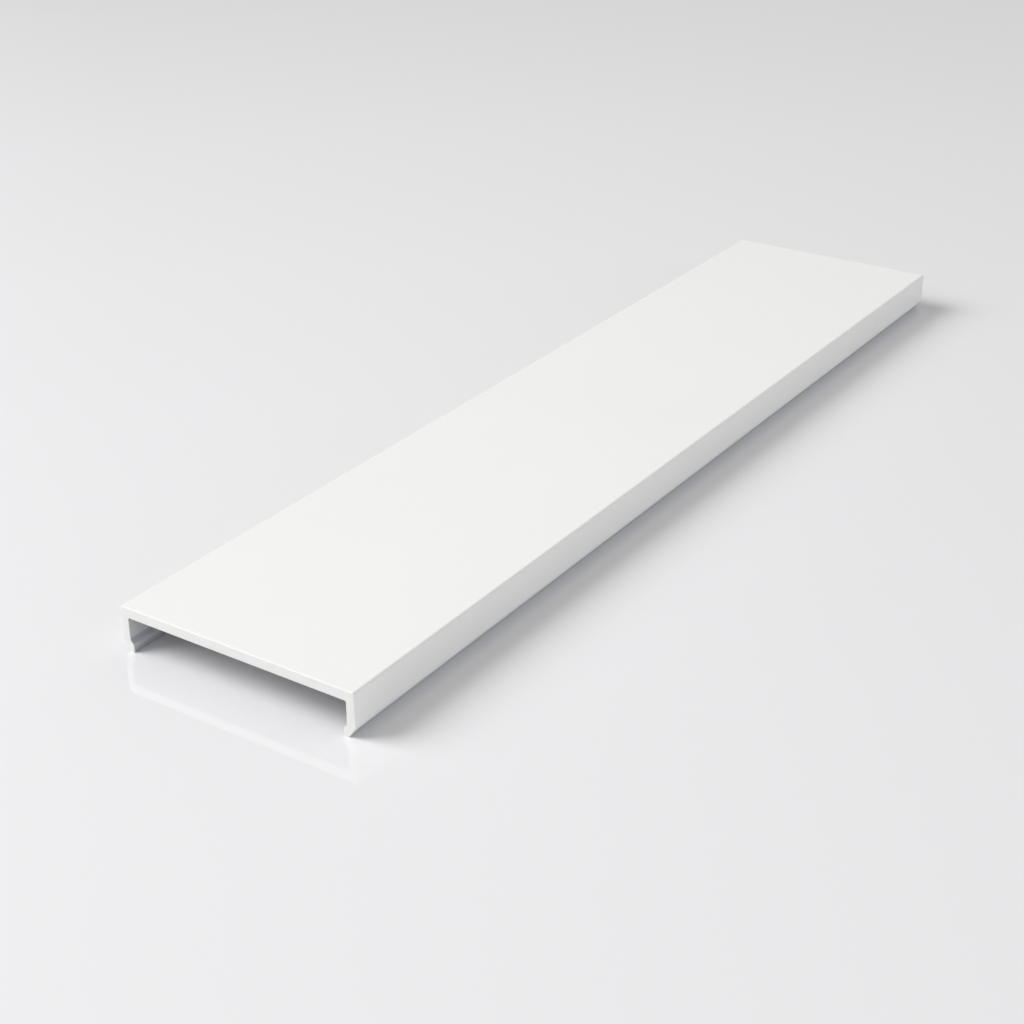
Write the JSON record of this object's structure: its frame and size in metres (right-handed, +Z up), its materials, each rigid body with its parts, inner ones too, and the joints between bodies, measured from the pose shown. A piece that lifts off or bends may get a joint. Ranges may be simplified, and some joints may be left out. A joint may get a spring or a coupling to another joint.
{
  "type": "joint cover trim",
  "caption": "Low white channel-shaped cover profile with an inward snap bead along each leg, pressed over a rail to hide a joint; cut square at both ends.",
  "frame": {"origin": "centre of the plane of the two feet, halfway along the length", "axes": "+X across the width, +Y along the length, +Z up from the feet to the visible face"},
  "size_m": [0.05, 0.225, 0.0086],
  "materials": {
    "white_powder_coat": "satin"
  },
  "bodies": {
    "root": {"cover_profile": "white_powder_coat"}
  },
  "joints": []
}
